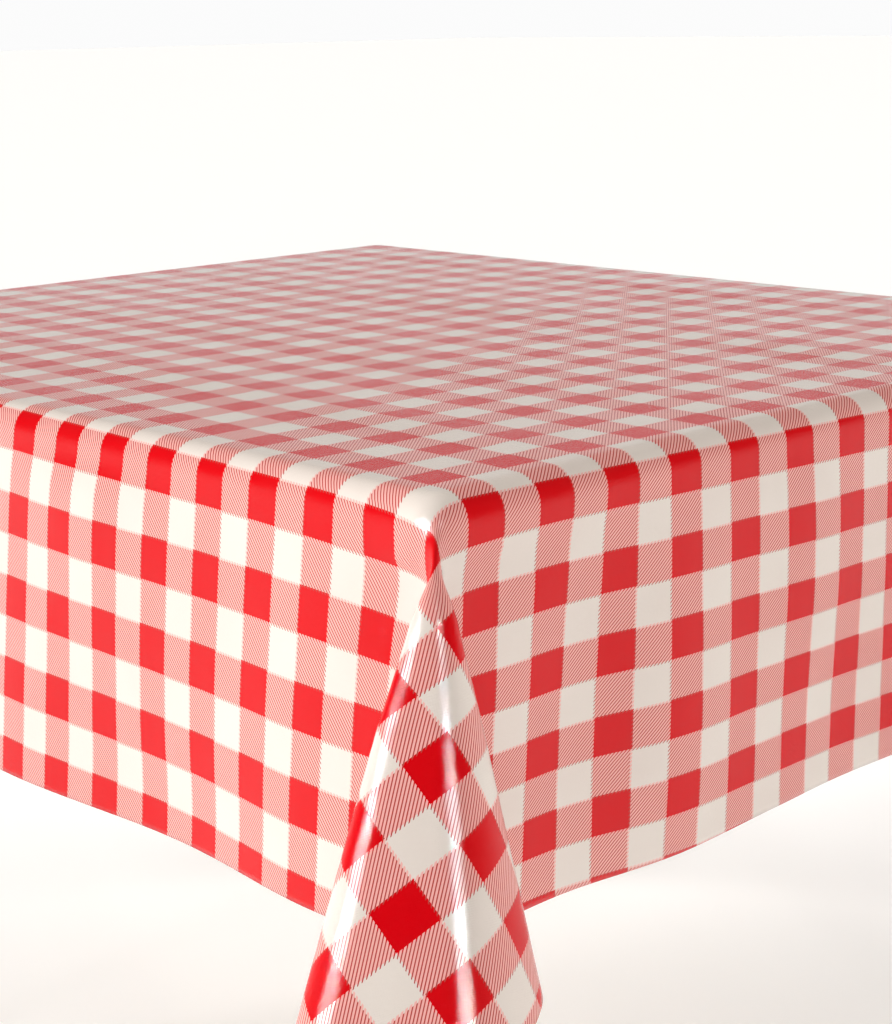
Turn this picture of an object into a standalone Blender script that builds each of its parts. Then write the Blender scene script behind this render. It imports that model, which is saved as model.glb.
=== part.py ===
"""A wipe-clean gingham cloth draped over a small rectangular wooden table.

The cloth is one sheet. It lies on the table top, rolls over the rounded edges, hangs as four skirts, and the
spare square at each corner hangs as an open fold that faces outwards and is longer than the skirts.
The table is a bolt-together one: boards between two end boards, four aprons, a cross rail, four tapered legs
drawn against corner blocks by hanger bolts, wooden buttons that hold the top, and glides under the legs.

Metres, +Z up. The origin is on the floor, under the middle of the table. X runs along the short side.
"""

import math

import bmesh
import bpy
import numpy as np
from mathutils import Matrix, Vector

# Table top
TOP_WIDTH = 0.860
TOP_LENGTH = 0.990
TOP_THICKNESS = 0.028
TOP_SURFACE_Z = 0.7484
TOP_EDGE_RADIUS = 0.0165
TOP_CORNER_RADIUS = 0.0200
TOP_LOWER_CHAMFER = 0.002
BOARD_COUNT = 5
END_BOARD_WIDTH = 0.100
ROUND_STEPS = 5

# Cloth
CLOTH_WIDTH = 1.370
CLOTH_LENGTH = 1.510
CLOTH_WALL = 0.0012
CLOTH_GAP = 0.0004
SIDE_SKIRT_LEAN = math.radians(5.2)
END_SKIRT_LEAN = math.radians(1.5)
SKIRT_STEPS = 6
# Outline of a corner fold seen from its top point, in degrees off the hanging line: across, then outwards.
FOLD_OUTLINE = (
    (-3.6, -3.6), (-5.2, 1.8), (-9.2, 6.2), (-12.8, 8.8), (-13.7, 11.2), (-12.0, 14.0), (-7.4, 16.2),
    (-1.5, 17.2), (4.6, 16.9), (10.0, 14.2), (13.2, 10.2), (13.0, 5.8), (7.2, 2.0), (3.6, -3.6),
)
FOLD_FIRST_ANGLE = math.radians(14.0)
FOLD_LAST_ANGLE = math.radians(82.0)
FOLD_OPENS_OVER = 0.055

# Legs and aprons
LEG_SIZE = 0.060
LEG_FOOT_SIZE = 0.042
LEG_INSET = 0.035
LEG_TAPER_DROP = 0.130
LEG_EDGE_BEVEL = 0.0025
LEG_CORNER_FLAT = 0.012
APRON_THICKNESS = 0.022
APRON_HEIGHT = 0.090
APRON_REVEAL = 0.008
APRON_GROOVE_DROP = 0.012
APRON_GROOVE_HEIGHT = 0.009
APRON_GROOVE_DEPTH = 0.008
RAIL_THICKNESS = 0.022
RAIL_HEIGHT = 0.060
RAIL_CHAMFER = 0.001
GLIDE_HEIGHT = 0.006
GLIDE_RADIUS = 0.013
GLIDE_CHAMFER = 0.002
GLIDE_PIN_RADIUS = 0.0018
GLIDE_PIN_LENGTH = 0.016
GLIDE_PIN_POINT = 0.003

# Corner joint hardware
BLOCK_THICKNESS = 0.026
BLOCK_HEIGHT = 0.064
BOLT_RADIUS = 0.004
BOLT_IN_LEG = 0.034
BOLT_BEYOND_BLOCK = 0.020
BOLT_POINT = 0.006
BOLT_END_CHAMFER = 0.001
WASHER_RADIUS = 0.010
WASHER_THICKNESS = 0.0016
NUT_ACROSS_FLATS = 0.013
NUT_HEIGHT = 0.0065

# Buttons that hold the top
BUTTON_WIDTH = 0.026
BUTTON_REACH = 0.038
BUTTON_BODY_HEIGHT = 0.016
BUTTON_TONGUE = 0.0065
BUTTON_TONGUE_HEIGHT = 0.007
BUTTON_SPREAD_SIDE = 0.250
BUTTON_SPREAD_END = 0.160
SCREW_FROM_APRON = 0.021
SCREW_SHANK_RADIUS = 0.0021
SCREW_HEAD_RADIUS = 0.0042
SCREW_HEAD_HEIGHT = 0.0026
SCREW_IN_TOP = 0.013
SCREW_POINT = 0.005

# Clearances
TOUCH_GAP = 0.0003
BOLT_CLEARANCE = 0.0005
# How far a drill starts outside the face that it goes into
DRILL_RUN_IN = 0.010

# Places that follow from the sizes above
TOP_UNDERSIDE_Z = TOP_SURFACE_Z - TOP_THICKNESS
CLOTH_TOP_Z = TOP_SURFACE_Z + CLOTH_GAP + CLOTH_WALL
FRAME_TOP_Z = TOP_UNDERSIDE_Z - TOUCH_GAP
APRON_BOTTOM_Z = FRAME_TOP_Z - APRON_HEIGHT
LEG_OUTER_X = TOP_WIDTH / 2 - LEG_INSET
LEG_OUTER_Y = TOP_LENGTH / 2 - LEG_INSET
LEG_INNER_X = LEG_OUTER_X - LEG_SIZE
LEG_INNER_Y = LEG_OUTER_Y - LEG_SIZE
APRON_INNER_X = LEG_OUTER_X - APRON_REVEAL - APRON_THICKNESS
APRON_INNER_Y = LEG_OUTER_Y - APRON_REVEAL - APRON_THICKNESS
BOLT_Z = FRAME_TOP_Z - APRON_HEIGHT / 2
CORNERS = (("front_left", -1, -1), ("front_right", 1, -1), ("back_right", 1, 1), ("back_left", -1, 1))


def clear_scene():
    """Remove whatever the file opened with."""
    for old in list(bpy.data.objects):
        bpy.data.objects.remove(old, do_unlink=True)


def material(name, colour, roughness, metallic=0.0):
    """Return a Principled material with the given colour, roughness and metallic value."""
    made = bpy.data.materials.new(name)
    made.use_nodes = True
    shader = made.node_tree.nodes["Principled BSDF"]
    shader.inputs["Base Color"].default_value = (*colour, 1.0)
    shader.inputs["Roughness"].default_value = roughness
    shader.inputs["Metallic"].default_value = metallic
    return made


def mesh_from(name, bm):
    """Turn a bmesh into mesh data and free it."""
    mesh = bpy.data.meshes.new(name)
    bm.to_mesh(mesh)
    bm.free()
    return mesh


def add(name, mesh, look, location=(0, 0, 0), rotation=(0, 0, 0), smooth=False):
    """Add one named piece to the scene."""
    piece = bpy.data.objects.new(name, mesh)
    bpy.context.scene.collection.objects.link(piece)
    piece.location = location
    piece.rotation_euler = rotation
    if not mesh.materials:
        mesh.materials.append(look)
    if smooth:
        mesh.shade_smooth()
        mesh.set_sharp_from_angle(angle=math.radians(35))
    return piece


def cut(piece, cutter):
    """Cut one shape out of a piece."""
    hole = piece.modifiers.new(cutter.name, "BOOLEAN")
    hole.operation = "DIFFERENCE"
    hole.solver = "EXACT"
    hole.object = cutter


def add_cutter(name, bm, location=(0, 0, 0), rotation=(0, 0, 0)):
    """Add a shape that only cuts others and is no piece itself."""
    cutter = bpy.data.objects.new(name, mesh_from(name, bm))
    bpy.context.scene.collection.objects.link(cutter)
    cutter.location = location
    cutter.rotation_euler = rotation
    cutter.hide_render = True
    cutter.display_type = "WIRE"
    return cutter


def rod(radius, low, high, sides=12):
    """Return a plain round bar along Z from low to high."""
    bm = bmesh.new()
    middle = Matrix.Translation((0, 0, (low + high) / 2))
    bmesh.ops.create_cone(bm, cap_ends=True, segments=sides, radius1=radius, radius2=radius,
                          depth=high - low, matrix=middle)
    return bm


def turned(outline, sides=12, closed=False):
    """Turn an outline of (radius, height) points about Z. A closed outline leaves a hole in the middle."""
    bm = bmesh.new()
    points = [bm.verts.new((radius, 0, height)) for radius, height in outline]
    rims = [bm.edges.new(pair) for pair in zip(points, points[1:])]
    if closed:
        rims.append(bm.edges.new((points[-1], points[0])))
    bmesh.ops.spin(bm, geom=points + rims, cent=(0, 0, 0), axis=(0, 0, 1), angle=2 * math.pi,
                   steps=sides, use_merge=True)
    bmesh.ops.remove_doubles(bm, verts=bm.verts, dist=1e-6)
    bmesh.ops.recalc_face_normals(bm, faces=bm.faces)
    return bm


def box(low, high, bevel=0.0):
    """Return a box between two corners, with its edges lightly bevelled."""
    bm = bmesh.new()
    low, high = Vector(low), Vector(high)
    size = high - low
    shape = Matrix.Translation((low + high) / 2) @ Matrix.Diagonal((*size, 1.0))
    bmesh.ops.create_cube(bm, size=1.0, matrix=shape)
    if bevel:
        bmesh.ops.bevel(bm, geom=bm.edges[:], offset=bevel, segments=1, affect="EDGES", profile=0.5)
    return bm


def prism(outline, low, high, axis="Z"):
    """Extrude a flat outline of (u, v) points from low to high along an axis."""
    place = {
        "X": lambda u, v, w: (w, u, v),
        "Y": lambda u, v, w: (u, w, v),
        "Z": lambda u, v, w: (u, v, w),
    }[axis]
    bm = bmesh.new()
    base = bm.faces.new([bm.verts.new(place(u, v, low)) for u, v in outline])
    grown = bmesh.ops.extrude_face_region(bm, geom=[base])["geom"]
    shift = Vector(place(0, 0, high - low))
    bmesh.ops.translate(bm, vec=shift, verts=[part for part in grown if isinstance(part, bmesh.types.BMVert)])
    bmesh.ops.recalc_face_normals(bm, faces=bm.faces)
    return bm


# ---------------------------------------------------------------- table top


def rounded_top():
    """Return the whole top as one slab: rounded corners, rounded upper edge, lower edge chamfered."""
    half_x, half_y = TOP_WIDTH / 2, TOP_LENGTH / 2
    bm = box((-half_x, -half_y, TOP_UNDERSIDE_Z), (half_x, half_y, TOP_SURFACE_Z))
    upright = [edge for edge in bm.edges if abs(edge.verts[0].co.z - edge.verts[1].co.z) > TOP_THICKNESS / 2]
    bmesh.ops.bevel(bm, geom=upright, offset=TOP_CORNER_RADIUS, segments=ROUND_STEPS,
                    affect="EDGES", profile=0.5)
    for height, width, steps in (
        (TOP_SURFACE_Z, TOP_EDGE_RADIUS, ROUND_STEPS),
        (TOP_UNDERSIDE_Z, TOP_LOWER_CHAMFER, 1),
    ):
        rim = [edge for edge in bm.edges if all(abs(vert.co.z - height) < 1e-6 for vert in edge.verts)]
        bmesh.ops.bevel(bm, geom=rim, offset=width, segments=steps, affect="EDGES", profile=0.5)
    return bm


def keep_between(bm, axis, low, high):
    """Saw away what lies outside low..high along X (0) or Y (1), and close the sawn faces."""
    for place, outwards in ((low, -1), (high, 1)):
        if place is None:
            continue
        point = Vector((place if axis == 0 else 0, place if axis == 1 else 0, 0))
        normal = Vector((outwards if axis == 0 else 0, outwards if axis == 1 else 0, 0))
        sawn = bmesh.ops.bisect_plane(bm, geom=bm.verts[:] + bm.edges[:] + bm.faces[:], dist=1e-7,
                                      plane_co=point, plane_no=normal, clear_outer=True)
        rim = [part for part in sawn["geom_cut"] if isinstance(part, bmesh.types.BMEdge)]
        bmesh.ops.contextual_create(bm, geom=rim)


def build_top(look):
    """Build the boards, laid along Y, and the two end boards across them."""
    boards = []
    joint_y = TOP_LENGTH / 2 - END_BOARD_WIDTH
    pitch = TOP_WIDTH / BOARD_COUNT
    for number in range(BOARD_COUNT):
        low = -TOP_WIDTH / 2 + number * pitch + TOUCH_GAP / 2
        bm = rounded_top()
        keep_between(bm, 0, low if number else None,
                     low + pitch - TOUCH_GAP if number < BOARD_COUNT - 1 else None)
        keep_between(bm, 1, -joint_y + TOUCH_GAP / 2, joint_y - TOUCH_GAP / 2)
        boards.append(add(f"top_board_{number + 1}", mesh_from("board", bm), look))
    for name, side in (("front", -1), ("back", 1)):
        bm = rounded_top()
        reach = joint_y + TOUCH_GAP / 2
        keep_between(bm, 1, reach if side > 0 else None, -reach if side < 0 else None)
        boards.append(add(f"end_board_{name}", mesh_from("end_board", bm), look))
    return boards


# ---------------------------------------------------------------- legs, aprons and rail


def is_at(vert, reach_x, reach_y):
    """Tell whether a point lies this far from the table's middle along X and along Y."""
    return abs(abs(vert.co.x) - reach_x) < 1e-6 and abs(abs(vert.co.y) - reach_y) < 1e-6


def leg_shape(sign_x, sign_y):
    """Return one leg: square down to the aprons, then tapered on its two inner faces to the foot."""
    foot_z = GLIDE_HEIGHT + TOUCH_GAP
    low_x, high_x = sorted((sign_x * LEG_INNER_X, sign_x * LEG_OUTER_X))
    low_y, high_y = sorted((sign_y * LEG_INNER_Y, sign_y * LEG_OUTER_Y))
    bm = box((low_x, low_y, foot_z), (high_x, high_y, FRAME_TOP_Z))
    upright = [edge for edge in bm.edges if abs(edge.verts[0].co.z - edge.verts[1].co.z) > LEG_SIZE]
    inner = [edge for edge in upright if is_at(edge.verts[0], LEG_INNER_X, LEG_INNER_Y)]
    outer = [edge for edge in upright if edge not in inner]
    bmesh.ops.bevel(bm, geom=outer, offset=LEG_EDGE_BEVEL, segments=1, affect="EDGES", profile=0.5)
    inner = [edge for edge in bm.edges if all(is_at(vert, LEG_INNER_X, LEG_INNER_Y) for vert in edge.verts)]
    bmesh.ops.bevel(bm, geom=inner, offset=LEG_CORNER_FLAT, segments=1, affect="EDGES", profile=0.5)
    bmesh.ops.bisect_plane(bm, geom=bm.verts[:] + bm.edges[:] + bm.faces[:], dist=1e-7,
                           plane_co=(0, 0, FRAME_TOP_Z - LEG_TAPER_DROP), plane_no=(0, 0, 1))
    shrink = LEG_FOOT_SIZE / LEG_SIZE
    for vert in bm.verts:
        if abs(vert.co.z - foot_z) < 1e-6:
            vert.co.x = sign_x * (LEG_OUTER_X - (LEG_OUTER_X - abs(vert.co.x)) * shrink)
            vert.co.y = sign_y * (LEG_OUTER_Y - (LEG_OUTER_Y - abs(vert.co.y)) * shrink)
    return bm


def build_legs(wood, glide_look):
    """Build the four legs with their bolt holes, and a glide pinned under each."""
    glide_outline = (
        (0, 0), (GLIDE_RADIUS - GLIDE_CHAMFER, 0), (GLIDE_RADIUS, GLIDE_CHAMFER),
        (GLIDE_RADIUS, GLIDE_HEIGHT), (GLIDE_PIN_RADIUS, GLIDE_HEIGHT),
        (GLIDE_PIN_RADIUS, GLIDE_HEIGHT + GLIDE_PIN_LENGTH - GLIDE_PIN_POINT),
        (0, GLIDE_HEIGHT + GLIDE_PIN_LENGTH),
    )
    foot_centre_x = LEG_OUTER_X - LEG_FOOT_SIZE / 2
    foot_centre_y = LEG_OUTER_Y - LEG_FOOT_SIZE / 2
    for name, sign_x, sign_y in CORNERS:
        leg = add(f"leg_{name}", mesh_from("leg", leg_shape(sign_x, sign_y)), wood)
        foot = (sign_x * foot_centre_x, sign_y * foot_centre_y, 0)
        pin_hole = rod(GLIDE_PIN_RADIUS + BOLT_CLEARANCE, GLIDE_HEIGHT / 2,
                       GLIDE_HEIGHT + GLIDE_PIN_LENGTH + BOLT_CLEARANCE)
        cut(leg, add_cutter(f"pin_hole_{name}", pin_hole, foot))
        bolt_hole = rod(BOLT_RADIUS + BOLT_CLEARANCE, -BOLT_IN_LEG - BOLT_CLEARANCE, LEG_CORNER_FLAT)
        place, turn = bolt_frame(sign_x, sign_y)
        cut(leg, add_cutter(f"bolt_hole_{name}", bolt_hole, place, turn))
        glide = mesh_from("glide", turned(glide_outline, sides=16))
        add(f"glide_{name}", glide, glide_look, foot, smooth=True)


def apron_profile(inner, outer, sign):
    """Return an apron's section as (across, height) points, with the buttons' groove in its inner face."""
    groove_top = FRAME_TOP_Z - APRON_GROOVE_DROP
    groove_low = groove_top - APRON_GROOVE_HEIGHT
    floor = inner + APRON_GROOVE_DEPTH
    outline = ((inner, APRON_BOTTOM_Z), (outer, APRON_BOTTOM_Z), (outer, FRAME_TOP_Z), (inner, FRAME_TOP_Z),
               (inner, groove_top), (floor, groove_top), (floor, groove_low), (inner, groove_low))
    return [(sign * across, height) for across, height in outline]


def build_aprons(look):
    """Build the four aprons, butted between the legs, and the cross rail under the middle of the top."""
    for name, sign in (("left", -1), ("right", 1)):
        outline = apron_profile(APRON_INNER_X, APRON_INNER_X + APRON_THICKNESS, sign)
        reach = LEG_INNER_Y - TOUCH_GAP
        add(f"apron_{name}", mesh_from("apron", prism(outline, -reach, reach, "Y")), look)
    for name, sign in (("front", -1), ("back", 1)):
        outline = apron_profile(APRON_INNER_Y, APRON_INNER_Y + APRON_THICKNESS, sign)
        reach = LEG_INNER_X - TOUCH_GAP
        add(f"apron_{name}", mesh_from("apron", prism(outline, -reach, reach, "X")), look)
    reach = APRON_INNER_X - TOUCH_GAP
    half = RAIL_THICKNESS / 2
    rail = box((-reach, -half, FRAME_TOP_Z - RAIL_HEIGHT), (reach, half, FRAME_TOP_Z), bevel=RAIL_CHAMFER)
    add("cross_rail", mesh_from("cross_rail", rail), look)


# ---------------------------------------------------------------- corner joints


def bolt_frame(sign_x, sign_y):
    """Return where a corner's bolt leaves the leg, and the turn that points its Z at the table's middle."""
    flat = LEG_CORNER_FLAT / 2
    place = Vector((sign_x * (LEG_INNER_X + flat), sign_y * (LEG_INNER_Y + flat), BOLT_Z))
    inwards = Vector((-sign_x, -sign_y, 0)).normalized()
    return place, inwards.to_track_quat("Z", "Y").to_euler()


def build_corner_joints(wood, steel):
    """Build a block across each corner, with the hanger bolt, washer and nut that draw the leg into it."""
    face = LEG_INNER_X + LEG_INNER_Y + LEG_CORNER_FLAT - TOUCH_GAP * math.sqrt(2)
    back = face - BLOCK_THICKNESS * math.sqrt(2)
    wide_x, wide_y = APRON_INNER_X - TOUCH_GAP, APRON_INNER_Y - TOUCH_GAP
    seat = TOUCH_GAP + BLOCK_THICKNESS + TOUCH_GAP
    washer_top = seat + WASHER_THICKNESS
    hole = BOLT_RADIUS + BOLT_CLEARANCE
    washer_outline = ((hole, seat), (WASHER_RADIUS, seat), (WASHER_RADIUS, washer_top), (hole, washer_top))
    nut_low = washer_top + TOUCH_GAP
    bolt_outline = (
        (0, -BOLT_IN_LEG), (BOLT_RADIUS, BOLT_POINT - BOLT_IN_LEG),
        (BOLT_RADIUS, seat + BOLT_BEYOND_BLOCK - BOLT_END_CHAMFER),
        (BOLT_RADIUS - BOLT_END_CHAMFER, seat + BOLT_BEYOND_BLOCK), (0, seat + BOLT_BEYOND_BLOCK),
    )
    for name, sign_x, sign_y in CORNERS:
        outline = ((wide_x, face - wide_x), (wide_x, back - wide_x),
                   (back - wide_y, wide_y), (face - wide_y, wide_y))
        outline = [(sign_x * u, sign_y * v) for u, v in outline]
        place, turn = bolt_frame(sign_x, sign_y)
        shape = prism(outline, BOLT_Z - BLOCK_HEIGHT / 2, BOLT_Z + BLOCK_HEIGHT / 2)
        block = add(f"corner_block_{name}", mesh_from("corner_block", shape), wood)
        drilled = rod(hole, -DRILL_RUN_IN, BLOCK_THICKNESS + DRILL_RUN_IN)
        cut(block, add_cutter(f"block_hole_{name}", drilled, place, turn))
        bolt = mesh_from("hanger_bolt", turned(bolt_outline))
        add(f"hanger_bolt_{name}", bolt, steel, place, turn, smooth=True)
        washer = turned(washer_outline, sides=16, closed=True)
        add(f"washer_{name}", mesh_from("washer", washer), steel, place, turn, smooth=True)
        across_corners = NUT_ACROSS_FLATS / math.sqrt(3)
        nut = rod(across_corners, nut_low, nut_low + NUT_HEIGHT, sides=6)
        piece = add(f"nut_{name}", mesh_from("nut", nut), steel, place, turn)
        drilled = rod(hole, nut_low - DRILL_RUN_IN, nut_low + NUT_HEIGHT + DRILL_RUN_IN)
        cut(piece, add_cutter(f"nut_hole_{name}", drilled, place, turn))


# ---------------------------------------------------------------- buttons under the top


def button_shape():
    """Return a wooden button and how low it reaches. Its tongue points along +X from the apron's inner face,
    and its body lies under the top."""
    tongue_top = -APRON_GROOVE_DROP - (APRON_GROOVE_HEIGHT - BUTTON_TONGUE_HEIGHT) / 2
    tongue_low = tongue_top - BUTTON_TONGUE_HEIGHT
    body_low = min(-BUTTON_BODY_HEIGHT, tongue_low)
    outline = (
        (-BUTTON_REACH, 0), (-BUTTON_REACH, body_low), (-TOUCH_GAP, body_low), (-TOUCH_GAP, tongue_low),
        (BUTTON_TONGUE, tongue_low), (BUTTON_TONGUE, tongue_top), (-TOUCH_GAP, tongue_top), (-TOUCH_GAP, 0),
    )
    if abs(body_low - tongue_low) < 1e-9:
        outline = outline[:2] + outline[4:]
    return prism(outline, -BUTTON_WIDTH / 2, BUTTON_WIDTH / 2, "Y"), body_low


def build_buttons(boards, wood, steel):
    """Build the buttons, their screws, and the screw holes in the boards above."""
    places = []
    for end, place in ((1, -1), (2, 1)):
        for name, sign, angle in (("left", -1, math.pi), ("right", 1, 0)):
            places.append((f"{name}_{end}", angle, (sign * APRON_INNER_X, place * BUTTON_SPREAD_SIDE)))
        for name, sign in (("front", -1), ("back", 1)):
            spot = (place * BUTTON_SPREAD_END, sign * APRON_INNER_Y)
            places.append((f"{name}_{end}", sign * math.pi / 2, spot))
    for name, angle, (x, y) in places:
        shape, body_low = button_shape()
        turn = (0, 0, angle)
        place = Vector((x, y, FRAME_TOP_Z))
        spot = place + Matrix.Rotation(angle, 3, "Z") @ Vector((-SCREW_FROM_APRON, 0, 0))
        head_top = body_low + SCREW_HEAD_HEIGHT + TOUCH_GAP
        button = add(f"button_{name}", mesh_from("button", shape), wood, place, turn)
        shank_hole = rod(SCREW_SHANK_RADIUS + BOLT_CLEARANCE, body_low - DRILL_RUN_IN,
                         SCREW_IN_TOP + TOUCH_GAP + BOLT_CLEARANCE)
        head_hole = rod(SCREW_HEAD_RADIUS + BOLT_CLEARANCE, body_low - DRILL_RUN_IN, head_top)
        shank_cutter = add_cutter(f"screw_hole_{name}", shank_hole, spot)
        cut(button, shank_cutter)
        cut(button, add_cutter(f"screw_head_hole_{name}", head_hole, spot))
        for board in boards:
            low, high = board_span(board)
            if all(low[axis] - DRILL_RUN_IN < spot[axis] < high[axis] + DRILL_RUN_IN for axis in (0, 1)):
                cut(board, shank_cutter)
        screw_outline = (
            (0, body_low), (SCREW_HEAD_RADIUS, body_low), (SCREW_SHANK_RADIUS, body_low + SCREW_HEAD_HEIGHT),
            (SCREW_SHANK_RADIUS, SCREW_IN_TOP - SCREW_POINT), (0, SCREW_IN_TOP),
        )
        screw = mesh_from("button_screw", turned(screw_outline))
        add(f"button_screw_{name}", screw, steel, spot, smooth=True)


def board_span(board):
    """Return the lowest and highest corner of a board's own mesh."""
    points = [vert.co for vert in board.data.vertices]
    return ([min(point[axis] for point in points) for axis in range(3)],
            [max(point[axis] for point in points) for axis in range(3)])


# ---------------------------------------------------------------- cloth


def cloth_sizes():
    """Return the cloth's outer half width and length, its edge radius, and how far the side skirts and the
    end skirts are cut past the edge."""
    skin = CLOTH_GAP + CLOTH_WALL
    half_x, half_y = TOP_WIDTH / 2 + skin, TOP_LENGTH / 2 + skin
    return half_x, half_y, TOP_EDGE_RADIUS + skin, CLOTH_WIDTH / 2 - half_x, CLOTH_LENGTH / 2 - half_y


def corner_stations():
    """Return, for the points round a corner fold, the plan angle of the table's corner, the direction in
    which the cloth hangs from the corner's top point, and the cloth's own angle there from the side skirt."""
    across, outwards = np.radians(np.array(FOLD_OUTLINE)).T
    steps = np.hypot(np.diff(across), np.diff(outwards))
    run = np.concatenate(([0.0], np.cumsum(steps))) / steps.sum()
    own_angle = FOLD_FIRST_ANGLE + run * (FOLD_LAST_ANGLE - FOLD_FIRST_ANGLE)
    plan_angle = run * math.pi / 2
    off_line = np.hypot(across, outwards)
    scale = np.sin(off_line) / off_line
    return plan_angle, across * scale, outwards * scale, -np.cos(off_line), own_angle


def smoothstep(value):
    """Rise smoothly from 0 to 1."""
    value = np.clip(value, 0.0, 1.0)
    return value * value * (3 - 2 * value)


def cloth_corner(sign_x, sign_y):
    """Return the outer surface of one corner as rows of points, from the top's rim down to the hem. Each row
    runs from the side skirt to the end skirt."""
    half_x, half_y, edge, cut_x, cut_y = cloth_sizes()
    plan_angle, across, outwards, down, own_angle = corner_stations()
    corner_round = TOP_CORNER_RADIUS + CLOTH_GAP + CLOTH_WALL
    centre = Vector((half_x - corner_round, half_y - corner_round))
    # Cloth goes over a rounded edge by a shorter way than round a sharp one.
    saved = edge * (2 - math.pi / 2)
    rows = []
    levels = [(step / ROUND_STEPS) * math.pi / 2 for step in range(ROUND_STEPS + 1)]
    for turn in levels:
        radius = corner_round - edge * (1 - math.sin(turn))
        z = CLOTH_TOP_Z - edge * (1 - math.cos(turn))
        rows.append([(centre.x + radius * math.cos(angle), centre.y + radius * math.sin(angle), z)
                     for angle in plan_angle])
    lean = np.array([math.tan(SIDE_SKIRT_LEAN), math.tan(END_SKIRT_LEAN)])
    reach = np.minimum((cut_x + saved) / np.cos(own_angle), (cut_y + saved) / np.sin(own_angle))
    reach[0], reach[-1] = cut_x + saved, cut_y + saved
    diagonal = math.sqrt(0.5)
    for step in range(1, SKIRT_STEPS + 1):
        share = step / SKIRT_STEPS
        row = []
        for j, angle in enumerate(plan_angle):
            depth = edge + (reach[j] - edge) * share
            open_now = float(smoothstep((depth - edge) / FOLD_OPENS_OVER))
            hang_x = half_x + diagonal * (outwards[j] - across[j]) * depth + lean[0] * (depth - edge)
            hang_y = half_y + diagonal * (outwards[j] + across[j]) * depth + lean[1] * (depth - edge)
            round_x = centre.x + corner_round * math.cos(angle) + lean[0] * (depth - edge)
            round_y = centre.y + corner_round * math.sin(angle) + lean[1] * (depth - edge)
            row.append((round_x + (hang_x - round_x) * open_now, round_y + (hang_y - round_y) * open_now,
                        CLOTH_TOP_Z + down[j] * depth))
        rows.append(row)
    return [[(sign_x * x, sign_y * y, z) for x, y, z in row] for row in rows]


def build_cloth(look):
    """Build the cloth's outer surface as rings round the table, closed by the flat top, and add the wall."""
    bm = bmesh.new()
    rings = [[] for _ in range(ROUND_STEPS + SKIRT_STEPS + 1)]
    for _, sign_x, sign_y in CORNERS:
        rows = cloth_corner(sign_x, sign_y)
        # Going round, the corners alternately start at their side skirt and at their end skirt.
        order = 1 if sign_x * sign_y > 0 else -1
        for ring, row in zip(rings, rows):
            ring.extend(bm.verts.new(point) for point in row[::order])
    for upper, lower in zip(rings, rings[1:]):
        count = len(upper)
        for j in range(count):
            following = (j + 1) % count
            bm.faces.new((upper[j], lower[j], lower[following], upper[following]))
    bm.faces.new(rings[0])
    bmesh.ops.recalc_face_normals(bm, faces=bm.faces)
    cloth = add("tablecloth", mesh_from("tablecloth", bm), look, smooth=True)
    wall = cloth.modifiers.new("wall", "SOLIDIFY")
    wall.thickness = CLOTH_WALL
    wall.offset = -1.0
    wall.use_even_offset = True
    return cloth


def main():
    """Build every piece."""
    clear_scene()
    oak = material("light_oak", (0.62, 0.42, 0.24), 0.45)
    beech = material("beech", (0.66, 0.47, 0.30), 0.5)
    steel = material("zinc_steel", (0.60, 0.61, 0.62), 0.35, 1.0)
    nylon = material("glide_nylon", (0.20, 0.18, 0.16), 0.5)
    gingham = material("gingham_vinyl", (0.80, 0.25, 0.24), 0.22)
    boards = build_top(oak)
    build_legs(oak, nylon)
    build_aprons(oak)
    build_corner_joints(beech, steel)
    build_buttons(boards, beech, steel)
    build_cloth(gingham)


main()
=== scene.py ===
"""Looks of a glossy gingham cloth draped over a small wooden table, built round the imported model."""

import logging
import math
from dataclasses import dataclass, field
from enum import Enum

import bmesh
import bpy
import numpy as np
from mathutils import Matrix, Vector


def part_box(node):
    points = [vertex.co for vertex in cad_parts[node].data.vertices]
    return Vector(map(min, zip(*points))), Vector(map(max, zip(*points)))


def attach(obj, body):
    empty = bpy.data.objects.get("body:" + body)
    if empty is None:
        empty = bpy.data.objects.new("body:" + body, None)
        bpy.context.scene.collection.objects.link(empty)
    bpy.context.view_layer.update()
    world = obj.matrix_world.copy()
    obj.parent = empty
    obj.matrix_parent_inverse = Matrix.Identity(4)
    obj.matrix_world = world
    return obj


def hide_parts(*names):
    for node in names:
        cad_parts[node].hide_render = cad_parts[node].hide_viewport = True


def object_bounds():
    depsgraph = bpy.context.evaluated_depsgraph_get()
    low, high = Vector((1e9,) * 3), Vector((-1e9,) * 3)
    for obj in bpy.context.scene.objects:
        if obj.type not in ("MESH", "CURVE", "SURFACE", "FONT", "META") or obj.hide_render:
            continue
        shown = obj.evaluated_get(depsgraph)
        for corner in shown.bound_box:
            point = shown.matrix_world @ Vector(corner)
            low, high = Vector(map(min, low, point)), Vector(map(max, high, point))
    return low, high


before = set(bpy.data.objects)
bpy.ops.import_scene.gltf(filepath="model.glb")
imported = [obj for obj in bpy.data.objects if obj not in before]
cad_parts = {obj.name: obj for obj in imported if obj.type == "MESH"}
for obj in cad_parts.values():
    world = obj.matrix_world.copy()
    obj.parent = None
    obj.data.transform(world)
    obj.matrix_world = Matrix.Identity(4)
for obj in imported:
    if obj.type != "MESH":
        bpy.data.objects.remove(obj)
CAD_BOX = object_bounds()
LOG = logging.getLogger("table")

Colour = tuple[float, float, float]
Point = tuple[float, float, float]
Socket = bpy.types.NodeSocket
Material = bpy.types.Material

# Where a noise texture's values mostly lie, for spreading them over a full range.
NOISE_RANGE = (0.3, 0.7)


def put(name: str, data: bpy.types.ID) -> bpy.types.Object:
    """Add an object that shows some data to the scene."""
    made = bpy.data.objects.new(name, data)
    bpy.context.scene.collection.objects.link(made)
    return made


# ---------------- node helpers


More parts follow.
